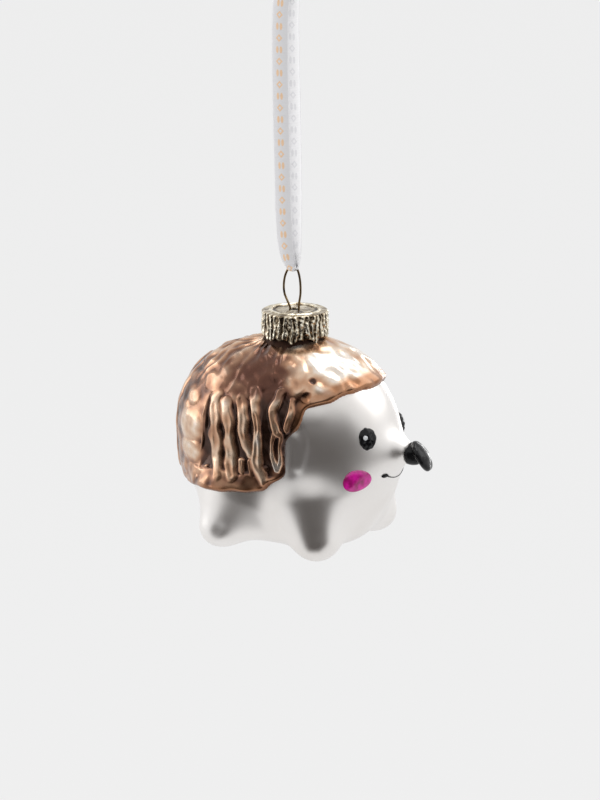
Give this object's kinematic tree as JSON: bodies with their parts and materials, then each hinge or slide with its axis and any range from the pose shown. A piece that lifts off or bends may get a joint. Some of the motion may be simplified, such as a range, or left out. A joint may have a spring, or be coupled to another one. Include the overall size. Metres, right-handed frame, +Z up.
{
  "type": "hanging hedgehog ornament",
  "caption": "Blown-glass hedgehog with a copper quill coat, crimped metal cap and wire loop, hung on a satin ribbon.",
  "frame": {"origin": "inside top of the ribbon loop, under its knot, where a branch or hook takes it", "axes": "+X runs to the hedgehog's nose, +Y to its left, +Z up"},
  "size_m": [0.0753, 0.0472, 0.1714],
  "materials": {
    "pearl_glass": "silvered inside, satin pearl lacquer outside",
    "copper_lacquer": "glossy copper-brown lacquer over moulded quills",
    "black_enamel": "glossy raised enamel",
    "magenta_enamel": "glossy raised enamel",
    "cap_metal": "champagne-gold plated, crimped",
    "wire_metal": "aged brass spring wire",
    "satin": "white satin ribbon with a small gold pattern"
  },
  "bodies": {
    "ribbon": {"ribbon_front": "satin", "ribbon_back": "satin", "ribbon_knot": "satin"},
    "hanger": {"hanger_wire": "wire_metal"},
    "cap": {"cap": "cap_metal"},
    "ornament": {"glass_body": "pearl_glass", "quill_coat": "copper_lacquer", "eye_right": "black_enamel", "eye_left": "black_enamel", "cheek_right": "magenta_enamel", "cheek_left": "magenta_enamel", "nose": "black_enamel"}
  },
  "joints": [
    {"name": "ribbon_swing", "type": "hinge", "parent": "ribbon", "child": "hanger", "pos_m": [0, 0, -0.082], "axis": [1, 0, 0], "range_deg": [-60, 60]},
    {"name": "hanger_swivel", "type": "hinge", "parent": "hanger", "child": "cap", "pos_m": [0, 0, -0.0933], "axis": [0, 0, 1], "continuous": true},
    {"name": "cap_pull_off", "type": "slide", "parent": "cap", "child": "ornament", "axis": [0, 0, -1], "range_m": [0, 0.03]}
  ]
}
